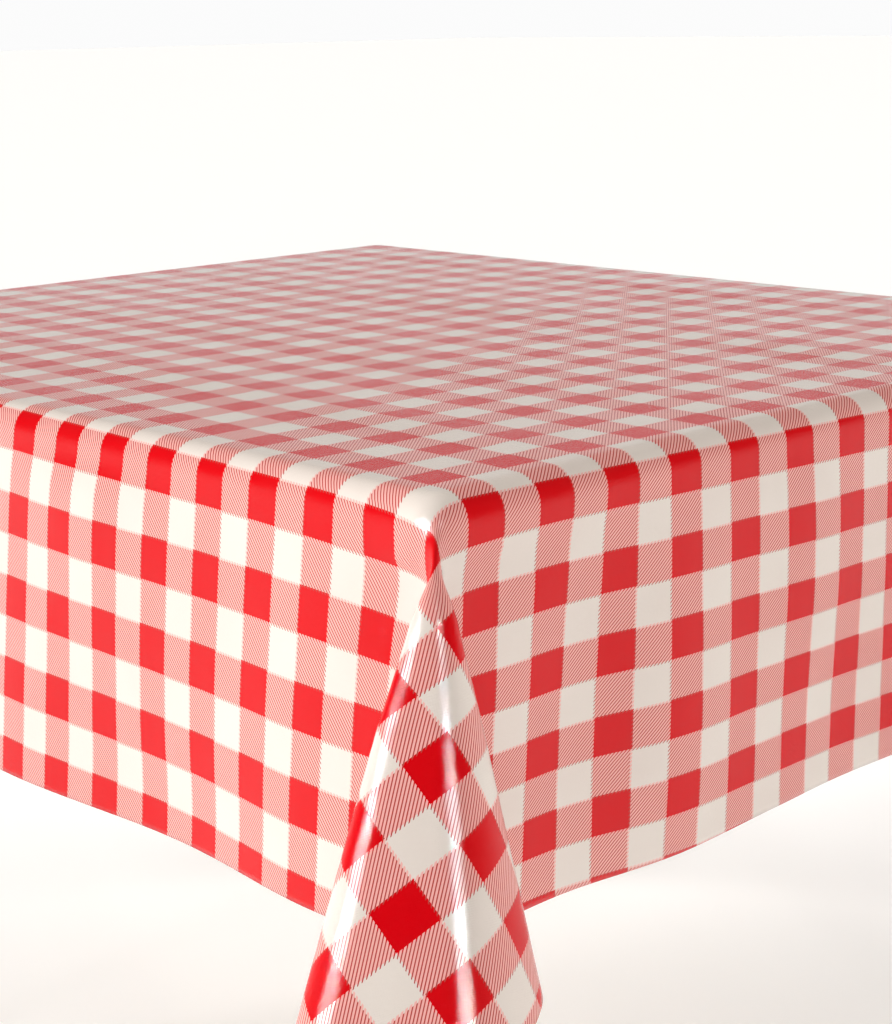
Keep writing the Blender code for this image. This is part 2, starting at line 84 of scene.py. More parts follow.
class Graph:
    """A node tree with short ways to add nodes and wire them."""

    def __init__(self, tree: bpy.types.NodeTree) -> None:
        """Wrap a tree.

        Args:
            tree: The node tree to add to.
        """
        self.tree = tree

    def node(self, kind: str, **settings: object) -> bpy.types.Node:
        """Add a node and set its attributes.

        Args:
            kind: The node's type name.
            **settings: Attributes of the node.

        Returns:
            The new node.
        """
        made = self.tree.nodes.new(kind)
        for name, value in settings.items():
            setattr(made, name, value)
        return made

    def wire(self, source: Socket, target: Socket) -> None:
        """Link one socket to another."""
        self.tree.links.new(source, target)

    def feed(self, target: Socket, value: object) -> None:
        """Link a socket, or set a plain value on it."""
        if isinstance(value, Socket):
            self.wire(value, target)
        elif isinstance(value, tuple) and len(value) == 3 and target.type == "RGBA":
            target.default_value = (*value, 1.0)
        else:
            target.default_value = value

    def math(self, operation: str, *values: object, clamp: bool = False) -> Socket:
        """Add a Math node.

        Args:
            operation: The node's operation.
            *values: Numbers or sockets for its inputs.
            clamp: Whether the result is held between 0 and 1.

        Returns:
            The result socket.
        """
        made = self.node("ShaderNodeMath", operation=operation, use_clamp=clamp)
        for target, value in zip(made.inputs, values):
            self.feed(target, value)
        return made.outputs[0]

    def mix(self, share: object, first: object, second: object) -> Socket:
        """Mix two colours.

        Args:
            share: How much of the second colour, a number or a socket.
            first: The first colour.
            second: The second colour.

        Returns:
            The mixed colour.
        """
        made = self.node("ShaderNodeMix", data_type="RGBA")
        self.feed(made.inputs[0], share)
        self.feed(made.inputs[6], first)
        self.feed(made.inputs[7], second)
        return made.outputs[2]

    def span(self, value: object, low: float, high: float, to_low: float,
             to_high: float) -> Socket:
        """Map a value from one range to another, clamped.

        Args:
            value: The value to map.
            low: Low end of the range it comes in.
            high: High end of that range.
            to_low: What the low end becomes.
            to_high: What the high end becomes.

        Returns:
            The mapped value.
        """
        made = self.node("ShaderNodeMapRange", clamp=True)
        for target, number in zip(made.inputs, (value, low, high, to_low, to_high)):
            self.feed(target, number)
        return made.outputs[0]

    def noise(self, place: Socket, scale: float, detail: float = 2.0,
              roughness: float = 0.5) -> Socket:
        """Add a noise texture.

        Args:
            place: The coordinates that it reads.
            scale: Its scale.
            detail: Octaves of finer noise.
            roughness: How strong the finer octaves are.

        Returns:
            The noise value, about 0.5 on average.
        """
        made = self.node("ShaderNodeTexNoise")
        self.wire(place, made.inputs["Vector"])
        made.inputs["Scale"].default_value = scale
        made.inputs["Detail"].default_value = detail
        made.inputs["Roughness"].default_value = roughness
        return made.outputs[0]

    def bump(self, height: Socket, distance: float, strength: float,
             normal: Socket | None = None) -> Socket:
        """Turn a height into a bumped normal.

        Args:
            height: The height, in units of distance.
            distance: Metres per unit of height.
            strength: How much of the bump is used.
            normal: A normal to add to.

        Returns:
            The normal.
        """
        made = self.node("ShaderNodeBump")
        made.inputs["Distance"].default_value = distance
        made.inputs["Strength"].default_value = strength
        self.wire(height, made.inputs["Height"])
        if normal is not None:
            self.wire(normal, made.inputs["Normal"])
        return made.outputs[0]


def new_group(name: str, inputs: dict[str, tuple[str, object]],
              outputs: dict[str, str]) -> tuple[Graph, dict, dict]:
    """Start a shader node group.

    Args:
        name: The group's name.
        inputs: Socket type and default value by input name.
        outputs: Socket type by output name.

    Returns:
        The group's graph, its input sockets by name, and its output sockets by name.
    """
    tree = bpy.data.node_groups.new(name, "ShaderNodeTree")
    for label, (kind, value) in inputs.items():
        socket = tree.interface.new_socket(name=label, in_out="INPUT", socket_type=kind)
        if value is not None:
            socket.default_value = value
    for label, kind in outputs.items():
        tree.interface.new_socket(name=label, in_out="OUTPUT", socket_type=kind)
    graph = Graph(tree)
    start = graph.node("NodeGroupInput")
    end = graph.node("NodeGroupOutput")
    return graph, {s.name: s for s in start.outputs}, {s.name: s for s in end.inputs}


def new_material(name: str) -> tuple[Material, Graph, bpy.types.Node]:
    """Start a material.

    Args:
        name: The material's name.

    Returns:
        The material, its graph and its Principled shader.
    """
    made = bpy.data.materials.new(name)
    made.use_nodes = True
    return made, Graph(made.node_tree), made.node_tree.nodes["Principled BSDF"]


def place_group(graph: Graph, tree: bpy.types.NodeTree,
                values: dict[str, object]) -> dict[str, Socket]:
    """Place a node group in a material.

    Args:
        graph: The material's graph.
        tree: The group.
        values: A value or socket for each input that differs from its default.

    Returns:
        The group's outputs by name.
    """
    made = graph.node("ShaderNodeGroup", node_tree=tree)
    for name, value in values.items():
        graph.feed(made.inputs[name], value)
    return {socket.name: socket for socket in made.outputs}


# ---------------- finishes


class Grain(Enum):
    """The axis along which a piece of wood's grain runs, and the turn that brings that axis onto Z."""

    ALONG_X = (0.0, math.pi / 2, 0.0)
    ALONG_Y = (math.pi / 2, 0.0, 0.0)
    ALONG_Z = (0.0, 0.0, 0.0)


class EdgeWear:
    """The shared group that finds rubbed edges and settled dust."""

    def __init__(self) -> None:
        """Build the group once."""
        graph, given, out = new_group(
            "rubbed_edges",
            {"Vector": ("NodeSocketVector", None), "Sharpness": ("NodeSocketFloat", 12.0)},
            {"Edge": "NodeSocketFloat", "Mottle": "NodeSocketFloat"},
        )
        pointed = graph.node("ShaderNodeNewGeometry").outputs["Pointiness"]
        lifted = graph.math("MULTIPLY", graph.math("SUBTRACT", pointed, 0.5), given["Sharpness"])
        patchy = graph.noise(given["Vector"], 60.0, 3.0)
        graph.wire(graph.math("MULTIPLY", lifted, patchy, clamp=True), out["Edge"])
        graph.wire(graph.noise(given["Vector"], 9.0, 4.0), out["Mottle"])
        self.tree = graph.tree


@dataclass(frozen=True)
class WoodFinish:
    """A planed and oiled wood."""

    name: str
    pale: Colour
    dark: Colour
    roughness: float
    grain: Grain
    stretch: float = 0.055
    pore_depth: float = 0.00025

    def make(self, wear: EdgeWear) -> Material:
        """Make the material.

        Args:
            wear: The shared edge wear group.

        Returns:
            The material.
        """
        made, graph, shader = new_material(self.name)
        place = graph.node("ShaderNodeTexCoord").outputs["Object"]
        shift = graph.node("ShaderNodeAttribute", attribute_name="plank").outputs["Vector"]
        moved = graph.node("ShaderNodeVectorMath", operation="ADD")
        graph.wire(place, moved.inputs[0])
        graph.wire(shift, moved.inputs[1])
        turned = graph.node("ShaderNodeMapping")
        turned.inputs["Rotation"].default_value = self.grain.value
        graph.wire(moved.outputs[0], turned.inputs["Vector"])
        drawn = graph.node("ShaderNodeMapping")
        drawn.inputs["Scale"].default_value = (1.0, 1.0, self.stretch)
        graph.wire(turned.outputs[0], drawn.inputs["Vector"])
        along = drawn.outputs[0]
        rings = graph.node("ShaderNodeTexWave", wave_type="RINGS", rings_direction="Z", wave_profile="SAW")
        graph.wire(along, rings.inputs["Vector"])
        for label, value in (("Scale", 9.0), ("Distortion", 5.0), ("Detail", 3.0), ("Detail Scale", 1.4)):
            rings.inputs[label].default_value = value
        fibre = graph.noise(along, 420.0, 4.0, 0.65)
        flecks = graph.noise(along, 150.0, 2.0)
        pores = graph.span(fibre, 0.34, 0.46, 1.0, 0.0)
        base = graph.mix(graph.span(rings.outputs[1], 0.15, 1.0, 0.0, 0.75), self.pale, self.dark)
        streaked = graph.mix(graph.span(flecks, 0.35, 0.7, 0.0, 0.45), base, self.dark)
        deep = tuple(channel * 0.45 for channel in self.dark)
        with_pores = graph.mix(graph.math("MULTIPLY", pores, 0.55), streaked, deep)
        worn = place_group(graph, wear.tree, {"Vector": place, "Sharpness": 9.0})
        light = tuple(min(1.0, channel * 1.25) for channel in self.pale)
        rubbed = graph.mix(graph.math("MULTIPLY", worn["Edge"], 0.6), with_pores, light)
        graph.wire(rubbed, shader.inputs["Base Color"])
        polish = graph.span(worn["Mottle"], *NOISE_RANGE, self.roughness - 0.07, self.roughness + 0.08)
        graph.wire(graph.math("ADD", polish, graph.math("MULTIPLY", pores, 0.15)), shader.inputs["Roughness"])
        relief = graph.math("SUBTRACT", graph.math("MULTIPLY", rings.outputs[1], 0.3), pores)
        graph.wire(graph.bump(relief, self.pore_depth, 0.5), shader.inputs["Normal"])
        return made


@dataclass(frozen=True)
class MetalFinish:
    """Zinc-plated steel with fine tool marks."""

    name: str
    colour: Colour
    roughness: float
    mark_depth: float = 0.00005

    def make(self, wear: EdgeWear) -> Material:
        """Make the material.

        Args:
            wear: The shared edge wear group.

        Returns:
            The material.
        """
        made, graph, shader = new_material(self.name)
        place = graph.node("ShaderNodeTexCoord").outputs["Object"]
        worn = place_group(graph, wear.tree, {"Vector": place, "Sharpness": 14.0})
        dull = tuple(channel * 0.72 for channel in self.colour)
        clouded = graph.mix(graph.span(worn["Mottle"], 0.35, 0.7, 0.0, 1.0), self.colour, dull)
        bright = tuple(min(1.0, channel * 1.3) for channel in self.colour)
        graph.wire(graph.mix(worn["Edge"], clouded, bright), shader.inputs["Base Color"])
        shader.inputs["Metallic"].default_value = 1.0
        marks = graph.noise(place, 900.0, 3.0)
        polish = graph.span(marks, *NOISE_RANGE, self.roughness - 0.08, self.roughness + 0.12)
        graph.wire(polish, shader.inputs["Roughness"])
        graph.wire(graph.bump(marks, self.mark_depth, 0.4), shader.inputs["Normal"])
        return made


@dataclass(frozen=True)
class NylonFinish:
    """Moulded nylon, lightly grained."""

    name: str
    colour: Colour
    grain_depth: float = 0.00006

    def make(self, wear: EdgeWear) -> Material:
        """Make the material.

        Args:
            wear: The shared edge wear group.

        Returns:
            The material.
        """
        made, graph, shader = new_material(self.name)
        place = graph.node("ShaderNodeTexCoord").outputs["Object"]
        worn = place_group(graph, wear.tree, {"Vector": place, "Sharpness": 10.0})
        scuffed = tuple(min(1.0, channel * 1.8 + 0.03) for channel in self.colour)
        graph.wire(graph.mix(worn["Edge"], self.colour, scuffed), shader.inputs["Base Color"])
        grain = graph.noise(place, 1400.0, 2.0)
        graph.wire(graph.span(grain, *NOISE_RANGE, 0.42, 0.62), shader.inputs["Roughness"])
        graph.wire(graph.bump(grain, self.grain_depth, 0.5), shader.inputs["Normal"])
        return made


@dataclass(frozen=True)
class GinghamFinish:
    """Checks printed on a pale ground under clear, finely embossed vinyl."""

    name: str = "gingham_vinyl"
    red: Colour = (0.680, 0.000, 0.004)
    ground: Colour = (0.805, 0.735, 0.680)
    stripe_dark: Colour = (0.500, 0.050, 0.045)
    stripe_light: Colour = (0.900, 0.480, 0.440)
    cloudy: Colour = (0.42, 0.06, 0.05)
    stripes_per_check: float = 10.0
    stripe_edge: tuple[float, float] = (0.14, 0.22)
    jag: float = 0.05
    threads_per_check: float = 26.0
    weft_share: float = 0.8
    facet_height: float = 3.0
    emboss_depth: float = 0.00012
    emboss_strength: float = 0.45
    polish: tuple[float, float] = (0.05, 0.10)
    refraction: float = 1.45
    shine: float = 0.32

    def make(self) -> Material:
        """Make the material. Its UV map counts checks: whole numbers are the lines between them.

        Returns:
            The material.
        """
        made, graph, shader = new_material(self.name)
        counted = graph.node("ShaderNodeUVMap", uv_map="checks").outputs[0]
        split = graph.node("ShaderNodeSeparateXYZ")
        graph.wire(counted, split.inputs[0])
        across, along = split.outputs[0], split.outputs[1]
        diagonal = graph.math("MULTIPLY", graph.math("SUBTRACT", across, along), self.stripes_per_check)
        slant = graph.math("FRACT", diagonal)
        off_middle = graph.math("ABSOLUTE", graph.math("SUBTRACT", slant, 0.5))
        stripe = graph.span(off_middle, *self.stripe_edge, 1.0, 0.0)
        stepped = graph.math("MULTIPLY", graph.math("SUBTRACT", stripe, 0.5), self.jag)
        odd_across = self._odd(graph, graph.math("ADD", across, stepped))
        odd_along = self._odd(graph, graph.math("ADD", along, stepped))
        both = graph.math("MULTIPLY", odd_across, odd_along)
        summed = graph.math("ADD", odd_across, odd_along)
        either = graph.math("SUBTRACT", summed, graph.math("MULTIPLY", both, 2.0))
        striped = graph.mix(stripe, self.stripe_light, self.stripe_dark)
        printed = graph.mix(both, graph.mix(either, self.ground, striped), self.red)
        cloud = graph.noise(counted, 0.35, 2.0)
        shade = graph.span(cloud, *NOISE_RANGE, 0.0, 0.06)
        graph.wire(graph.mix(shade, printed, self.cloudy), shader.inputs["Base Color"])
        weave = self._emboss(graph, across, along, counted)
        graph.wire(graph.bump(weave, self.emboss_depth, self.emboss_strength), shader.inputs["Normal"])
        smear = graph.noise(counted, 0.9, 4.0)
        graph.wire(graph.span(smear, 0.3, 0.75, *self.polish), shader.inputs["Roughness"])
        shader.inputs["IOR"].default_value = self.refraction
        shader.inputs["Specular IOR Level"].default_value = self.shine
        return made

    @staticmethod
    def _odd(graph: Graph, count: Socket) -> Socket:
        """Return 1 where a count is in an odd check and 0 where it is in an even one."""
        return graph.math("GREATER_THAN", graph.math("FRACT", graph.math("MULTIPLY", count, 0.5)), 0.5)

    def _emboss(self, graph: Graph, across: Socket, along: Socket,
                counted: Socket) -> Socket:
        """Return the height of the linen texture pressed into the vinyl.

        Args:
            graph: The material's graph.
            across: Checks across the cloth.
            along: Checks along it.
            counted: Both, as a vector.

        Returns:
            The height.
        """
        turn = 2 * math.pi * self.threads_per_check
        warp = graph.math("SINE", graph.math("MULTIPLY", across, turn))
        weft = graph.math("SINE", graph.math("MULTIPLY", along, turn * self.weft_share))
        thread = graph.math("MULTIPLY", warp, weft)
        slub = graph.noise(counted, 14.0, 3.0)
        speck = graph.noise(counted, 60.0, 2.0)
        woven = graph.math("MULTIPLY", thread, graph.span(slub, *NOISE_RANGE, 0.2, 0.8))
        facets = graph.math("MULTIPLY", graph.noise(counted, 11.0, 2.0), self.facet_height)
        return graph.math("ADD", graph.math("ADD", woven, facets), speck)


@dataclass(frozen=True)
class FleeceFinish:
    """The pale brushed backing of the vinyl."""

    name: str = "fleece_backing"
    colour: Colour = (0.78, 0.76, 0.73)
    pile: float = 0.0004

    def make(self) -> Material:
        """Make the material.

        Returns:
            The material.
        """
        made, graph, shader = new_material(self.name)
        counted = graph.node("ShaderNodeUVMap", uv_map="checks").outputs[0]
        fluff = graph.noise(counted, 22.0, 5.0, 0.7)
        clumps = graph.noise(counted, 3.0, 3.0)
        shaded = tuple(channel * 0.82 for channel in self.colour)
        clumped = graph.mix(graph.span(clumps, *NOISE_RANGE, 0.0, 0.6), self.colour, shaded)
        graph.wire(clumped, shader.inputs["Base Color"])
        graph.wire(graph.span(fluff, *NOISE_RANGE, 0.85, 1.0), shader.inputs["Roughness"])
        graph.wire(graph.bump(fluff, self.pile, 0.5), shader.inputs["Normal"])
        shader.inputs["Sheen Weight"].default_value = 0.25
        shader.inputs["Sheen Roughness"].default_value = 0.5
        return made


@dataclass
class Finishes:
    """Every material of the object, made once."""

    wear: EdgeWear = field(default_factory=EdgeWear)

    def __post_init__(self) -> None:
        """Make the materials."""
        self.oak = self._wood("oak", (0.58, 0.38, 0.20), (0.38, 0.21, 0.095), 0.42)
        self.beech = self._wood("beech", (0.60, 0.40, 0.25), (0.45, 0.26, 0.14), 0.5)
        self.steel = MetalFinish("zinc_steel", (0.56, 0.57, 0.58), 0.34).make(self.wear)
        self.nylon = NylonFinish("glide_nylon", (0.035, 0.032, 0.030)).make(self.wear)
        self.gingham = GinghamFinish().make()
        self.fleece = FleeceFinish().make()

    def _wood(self, kind: str, pale: Colour, dark: Colour, roughness: float) -> dict[Grain, Material]:
        """Make one kind of wood, once for each way its grain can run.

        Args:
            kind: The wood's name.
            pale: Its early wood.
            dark: Its late wood.
            roughness: Its roughness.

        Returns:
            The materials by the way their grain runs.
        """
        made = {}
        for grain in Grain:
            name = f"{kind}_{grain.name.lower()}"
            made[grain] = WoodFinish(name, pale, dark, roughness, grain).make(self.wear)
        return made


# ---------------- the cloth


def smoothstep(value: np.ndarray | float) -> np.ndarray:
    """Rise smoothly from 0 to 1."""
    value = np.clip(value, 0.0, 1.0)
    return value * value * (3 - 2 * value)


def rounded_path(points: np.ndarray, rounds: int = 4) -> np.ndarray:
    """Cut the corners of a path again and again until it is smooth.

    Args:
        points: The path's points, one a row.
        rounds: How often the corners are cut.

    Returns:
        The smooth path, with the same ends.
    """
    for _ in range(rounds):
        early = points[:-1] * 0.75 + points[1:] * 0.25
        late = points[:-1] * 0.25 + points[1:] * 0.75
        middle = np.stack((early, late), axis=1).reshape(-1, points.shape[1])
        points = np.vstack((points[:1], middle, points[-1:]))
    return points


@dataclass
class CornerFold:
    """The cloth round one corner: a cone whose lines all run out from the top's corner.

    Its section is drawn in degrees off the hanging line, across (from the side skirt to the end skirt) and
    outwards. The cloth takes a quarter turn round the corner, so the tuck behind the side skirt is as deep as
    that leaves.
    """

    longest_tuck: float = 16.0
    front: tuple[tuple[float, float], ...] = (
        (0.5, 7.6), (-4.5, 7.8), (-9.5, 8.4), (-12.6, 9.2), (-14.0, 10.9), (-13.2, 12.9), (-11.2, 14.8),
        (-9.6, 15.6), (-4.0, 16.5), (1.0, 17.1), (5.6, 17.4), (8.0, 16.1), (10.4, 13.9), (12.2, 11.2),
        (13.6, 8.4), (14.4, 5.7), (13.6, 3.2), (10.4, 0.4), (6.4, -1.8), (2.6, -2.2), (0.0, 0.0),
    )

    def section(self, tuck: float) -> np.ndarray:
        """Return the section for a given tuck.

        Args:
            tuck: How far the side skirt runs on past the corner, in degrees.

        Returns:
            The smooth section as rows of (across, outwards), in radians.
        """
        start = ((0.0, 0.0), (tuck * 0.5, tuck * 0.5), (tuck, tuck))
        turn_back = start + ((tuck + 0.2, tuck + 1.1), (tuck - 1.5, tuck + 1.7))
        return np.radians(rounded_path(np.array(turn_back + self.front), 3))

    def solved(self) -> tuple[np.ndarray, np.ndarray]:
        """Find the tuck that makes the section a quarter turn long.

        Returns:
            The cloth's own angle at each point of the section, and the section.
        """
        low, high = 0.5, self.longest_tuck
        for _ in range(40):
            middle = (low + high) / 2
            path = self.section(middle)
            run = np.concatenate(([0.0], np.cumsum(np.linalg.norm(np.diff(path, axis=0), axis=1))))
            if run[-1] > math.pi / 2:
                high = middle
            else:
                low = middle
        return run * (math.pi / 2 / run[-1]), path


@dataclass(frozen=True)
class Swell:
    """A place where a skirt stands out, or sinks in where its height is negative."""

    along: float
    depth: float
    wide: float
    tall: float
    height: float

    def at(self, along: np.ndarray, down: np.ndarray) -> np.ndarray:
        """Return the swell's height at places along the edge and down the skirt."""
        off_along, off_down = (along - self.along) / self.wide, (down - self.depth) / self.tall
        return self.height * np.exp(-off_along ** 2 - off_down ** 2)


@dataclass(frozen=True)
class Crease:
    """A ridge left in the cloth where it lay folded in its packet."""

    across: float
    height: float
    width: float = 0.006


@dataclass
class Drape:
    """The gingham cloth: one sheet on the table, with its four skirts and four corner folds."""

    width: float = 1.370
    length: float = 1.510
    thickness: float = 0.0006
    check_across: float = 0.0293
    check_along: float = 0.0258
    print_turn: float = math.radians(-1.4)
    print_shift: tuple[float, float] = (-0.0091, 0.0041)
    edge_radius: float = 0.0181
    side_lean: float = math.tan(math.radians(5.27))
    end_lean: float = math.tan(math.radians(1.55))
    fine_step: float = 0.004
    coarse_step: float = 0.012
    corner_zone: float = 0.030
    left_skirt: tuple[Swell, ...] = (
        Swell(-0.475, 0.04, 0.04, 0.05, -0.006), Swell(-0.385, 0.20, 0.05, 0.12, 0.003),
        Swell(-0.26, 0.26, 0.09, 0.07, -0.008), Swell(-0.16, 0.06, 0.08, 0.08, 0.005),
        Swell(-0.09, 0.20, 0.06, 0.12, 0.003), Swell(0.08, 0.24, 0.08, 0.10, -0.006),
        Swell(0.25, 0.22, 0.09, 0.14, 0.007), Swell(0.39, 0.25, 0.05, 0.12, -0.004),
    )
    front_skirt: tuple[Swell, ...] = (
        Swell(-0.385, 0.04, 0.035, 0.05, -0.003), Swell(-0.305, 0.16, 0.045, 0.12, -0.0055),
        Swell(-0.215, 0.18, 0.055, 0.12, 0.006), Swell(-0.09, 0.10, 0.06, 0.07, 0.004),
        Swell(-0.05, 0.25, 0.055, 0.09, -0.003), Swell(0.12, 0.23, 0.07, 0.12, 0.003),
        Swell(0.24, 0.24, 0.06, 0.11, -0.005), Swell(0.35, 0.20, 0.05, 0.12, 0.004),
    )
    right_skirt: tuple[Swell, ...] = (
        Swell(-0.37, 0.20, 0.06, 0.13, 0.004), Swell(-0.20, 0.24, 0.08, 0.10, -0.007),
        Swell(-0.03, 0.22, 0.07, 0.14, 0.006), Swell(0.13, 0.25, 0.07, 0.09, -0.005),
        Swell(0.29, 0.21, 0.08, 0.13, 0.006), Swell(0.43, 0.06, 0.05, 0.06, -0.004),
    )
    back_skirt: tuple[Swell, ...] = (
        Swell(-0.31, 0.22, 0.06, 0.12, -0.005), Swell(-0.17, 0.23, 0.07, 0.14, 0.006),
        Swell(0.00, 0.25, 0.07, 0.09, -0.006), Swell(0.15, 0.20, 0.07, 0.13, 0.005),
        Swell(0.31, 0.22, 0.05, 0.15, -0.004),
    )
    creases: tuple[Crease, ...] = (
        Crease(-0.276, 0.0016), Crease(-0.100, 0.0013), Crease(0.134, 0.0015), Crease(0.330, 0.0010),
    )
    unevenness: float = 0.00025
    ridge_margin: float = 0.012
    ridge_fade: float = 0.05
    swell_rise: float = 0.03
    lean_reach: float = 0.35
    pulled_up: float = 0.006
    pull_inset: float = 0.075
    pull_width: float = 0.085
    corner_sag: float = 0.006
    end_sag_share: float = 0.7
    sag_width: float = 0.06
    sag_until: float = 0.05
    blur: float = 0.0035
    corner_blur: float = 0.0085
    fold: CornerFold = field(default_factory=CornerFold)

    def __post_init__(self) -> None:
        """Take the table's edges from the frame."""
        low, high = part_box("end_board_back")
        skin = CAD_BOX[1][2] - high[2]
        self.half_x = high[0] + skin
        self.half_y = high[1] + skin
        self.top_z = CAD_BOX[1][2]
        self.saved = self.edge_radius * (2 - math.pi / 2)

    def _lines(self, half: float, edge: float) -> np.ndarray:
        """Return the places of the grid's lines along one side of the cloth.

        Args:
            half: Half the cloth's size.
            edge: Where the table's edge is.

        Returns:
            The places, close together beyond the edge and wider on the top.
        """
        start = edge - self.corner_zone
        fine = np.linspace(start, half, round((half - start) / self.fine_step) + 1)
        coarse = np.linspace(-start, start, 2 * round(start / self.coarse_step) + 1)[1:-1]
        return np.concatenate((-fine[::-1], coarse, fine))

    def _profile(self, past: np.ndarray) -> tuple[np.ndarray, np.ndarray]:
        """Roll the cloth over one straight edge.

        Args:
            past: Cloth past the edge line, negative on the top.

        Returns:
            How far out from the edge line the cloth lies, and how far below the top.
        """
        radius = self.edge_radius
        turn = np.clip((past + radius) / radius, 0.0, math.pi / 2)
        out = np.where(past < -radius, past, radius * (np.sin(turn) - 1))
        down = radius * (1 - np.cos(turn)) + np.maximum(0.0, past + self.saved - radius)
        return out, down

    def _skirt_swell(self, along: np.ndarray, hang: np.ndarray, low: tuple[Swell, ...],
                     high: tuple[Swell, ...], side: np.ndarray) -> np.ndarray:
        """Return how far a pair of facing skirts swell outwards.

        Args:
            along: Place along the edge.
            hang: How far below the rounded edge the cloth hangs.
            low: The swells of the skirt on the negative side.
            high: The swells of the skirt on the positive side.
            side: The side that each point is on, negative or positive.

        Returns:
            The swell in metres.
        """
        down = hang + self.edge_radius
        on_low, on_high = (sum(one.at(along, down) for one in swells) for swells in (low, high))
        return np.where(side < 0, on_low, on_high) * smoothstep(hang / self.swell_rise)

    def _ridges(self, a: np.ndarray, b: np.ndarray) -> np.ndarray:
        """Return how far the top stands up in its packing creases and between them.

        Args:
            a: Places across the cloth.
            b: Places along it.

        Returns:
            The height above the flat table, never negative.
        """
        turned = a * math.cos(self.print_turn) + b * math.sin(self.print_turn)
        inside_a = smoothstep((self.half_x - self.ridge_margin - np.abs(a)) / self.ridge_fade)
        inside_b = smoothstep((self.half_y - self.ridge_margin - np.abs(b)) / self.ridge_fade)
        height = self.unevenness * (1 + np.sin(a * 23 + np.sin(b * 9)) * np.cos(b * 17 + 1.7 * np.sin(a * 8)))
        for crease in self.creases:
            uneven = 0.75 + 0.25 * np.sin(b * 21 + crease.across * 60)
            off = np.abs(turned - crease.across + 0.0015 * np.sin(b * 13 + crease.across * 40))
            height = height + crease.height * uneven * np.exp(-off / crease.width)
        return height * (inside_a * inside_b)

    def surface(self, a: np.ndarray, b: np.ndarray) -> np.ndarray:
        """Place points of the flat cloth in space.

        Args:
            a: Places across the cloth, from its middle.
            b: Places along it.

        Returns:
            Their places in space, the last axis being X, Y, Z.
        """
        sign_a, sign_b = np.sign(a), np.sign(b)
        past_a, past_b = np.abs(a) - self.half_x, np.abs(b) - self.half_y
        out_a, down_a = self._profile(past_a)
        out_b, down_b = self._profile(past_b)
        hang_a, hang_b = (np.maximum(0.0, down - self.edge_radius) for down in (down_a, down_b))
        near_a, near_b = (smoothstep(1 + past / self.lean_reach) for past in (past_a, past_b))
        x = self.half_x + out_a + hang_a * self.side_lean + hang_b * self.side_lean * near_a
        y = self.half_y + out_b + hang_b * self.end_lean + hang_a * self.end_lean * near_b
        z = -(down_a + down_b)
        x = x + self._skirt_swell(b, hang_a, self.left_skirt, self.right_skirt, sign_a)
        y = y + self._skirt_swell(a, hang_b, self.front_skirt, self.back_skirt, sign_b)
        z = z + self._ridges(a, b)
        # The end skirts are drawn up towards their folds, and every skirt sags a little at the corners.
        near_fold = np.exp(-((self.half_x - np.abs(a) - self.pull_inset) / self.pull_width) ** 2)
        z = z + self.pulled_up * near_fold * smoothstep((hang_b - 0.10) / 0.14)
        sag = self._sag(hang_a + hang_b)
        side_sag = sag * np.exp(-(past_b / self.sag_width) ** 2) * smoothstep(down_a / self.edge_radius)
        end_sag = sag * np.exp(-(past_a / self.sag_width) ** 2) * smoothstep(down_b / self.edge_radius)
        z = z - side_sag * (past_b < 0) - self.end_sag_share * end_sag * (past_a < 0)
        corner = (past_a > 0) & (past_b > 0)
        own_angle, path = self.fold.solved()
        angle = np.arctan2(past_b, np.maximum(past_a, 1e-9))
        reach = np.hypot(past_a, past_b)
        reach = reach + self.saved * smoothstep(reach / (self.edge_radius * 1.2))
        across, outwards = (np.interp(angle, own_angle, column) for column in path.T)
        off = np.maximum(np.hypot(across, outwards), 1e-9)
        scale = np.sin(off) / off * reach * math.sqrt(0.5)
        fall = np.cos(off) * reach
        low = np.maximum(0.0, fall - self.edge_radius)
        x = np.where(corner, self.half_x + scale * (outwards - across) + low * self.side_lean, x)
        y = np.where(corner, self.half_y + scale * (outwards + across) + low * self.end_lean, y)
        sagging = np.where(angle < math.pi / 4, 1.0, self.end_sag_share) * self._sag(low)
        z = np.where(corner, -fall - sagging * smoothstep(reach / self.edge_radius), z)
        return np.stack((np.where(sign_a < 0, -x, x), np.where(sign_b < 0, -y, y), z + self.top_z), axis=-1)

    def _sag(self, hang: np.ndarray) -> np.ndarray:
        """Return how far the cloth sags at a corner, which fades out down the skirt."""
        return self.corner_sag * (1 - smoothstep((hang - self.sag_until) / 0.06))

    def _blurred(self, points: np.ndarray, sigma: float) -> np.ndarray:
        """Blur the surface over a few steps of its even grid.

        Args:
            points: Points on the even grid.
            sigma: Width of the blur in metres.

        Returns:
            The blurred points.
        """
        reach = int(math.ceil(3 * sigma / self.fine_step))
        steps = np.arange(-reach, reach + 1) * self.fine_step
        weights = np.exp(-0.5 * (steps / sigma) ** 2)
        weights /= weights.sum()
        for axis in (0, 1):
            # A straight run goes on past the hem, so that the blur leaves the hem where it is.
            first = np.take(points, [0], axis=axis)
            last = np.take(points, [-1], axis=axis)
            before = [2 * first - np.take(points, [step], axis=axis) for step in range(reach, 0, -1)]
            after = [2 * last - np.take(points, [-1 - step], axis=axis) for step in range(1, reach + 1)]
            longer = np.concatenate((*before, points, *after), axis=axis)
            size = points.shape[axis]
            points = sum(weight * np.take(longer, range(step, step + size), axis=axis)
                         for step, weight in enumerate(weights))
        return points

